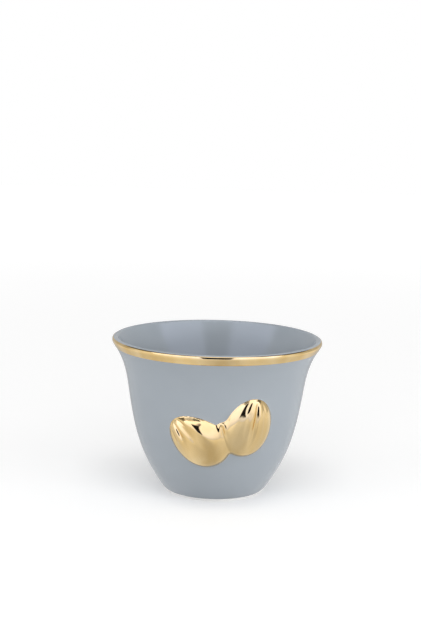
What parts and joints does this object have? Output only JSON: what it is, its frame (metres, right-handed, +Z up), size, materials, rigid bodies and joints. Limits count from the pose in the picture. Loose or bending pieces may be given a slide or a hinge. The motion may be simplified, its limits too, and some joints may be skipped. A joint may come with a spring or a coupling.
{
  "type": "arabic coffee cup",
  "caption": "Small flared porcelain coffee cup with no handle, grey glaze, a gilded rim and gilded cardamom pods in relief on the front.",
  "frame": {"origin": "on the cup's axis, on the surface that the cup stands on", "axes": "+Z up along the cup's axis; the pods in relief face -Y"},
  "size_m": [0.075, 0.075, 0.0558],
  "materials": {
    "porcelain": "fired white porcelain, under the glaze",
    "bare_foot": "bare ground porcelain, matt",
    "grey_glaze": "blue-grey satin glaze",
    "gold": "fired bright gold, thin coat"
  },
  "bodies": {
    "root": {"cup_body": "porcelain", "foot_ring": "bare_foot", "left_pod": "porcelain", "right_pod": "porcelain", "pod_stem": "porcelain", "outer_glaze": "grey_glaze", "inner_glaze": "grey_glaze", "recess_glaze": "grey_glaze", "rim_gilding": "gold", "relief_gilding": "gold"}
  },
  "joints": []
}
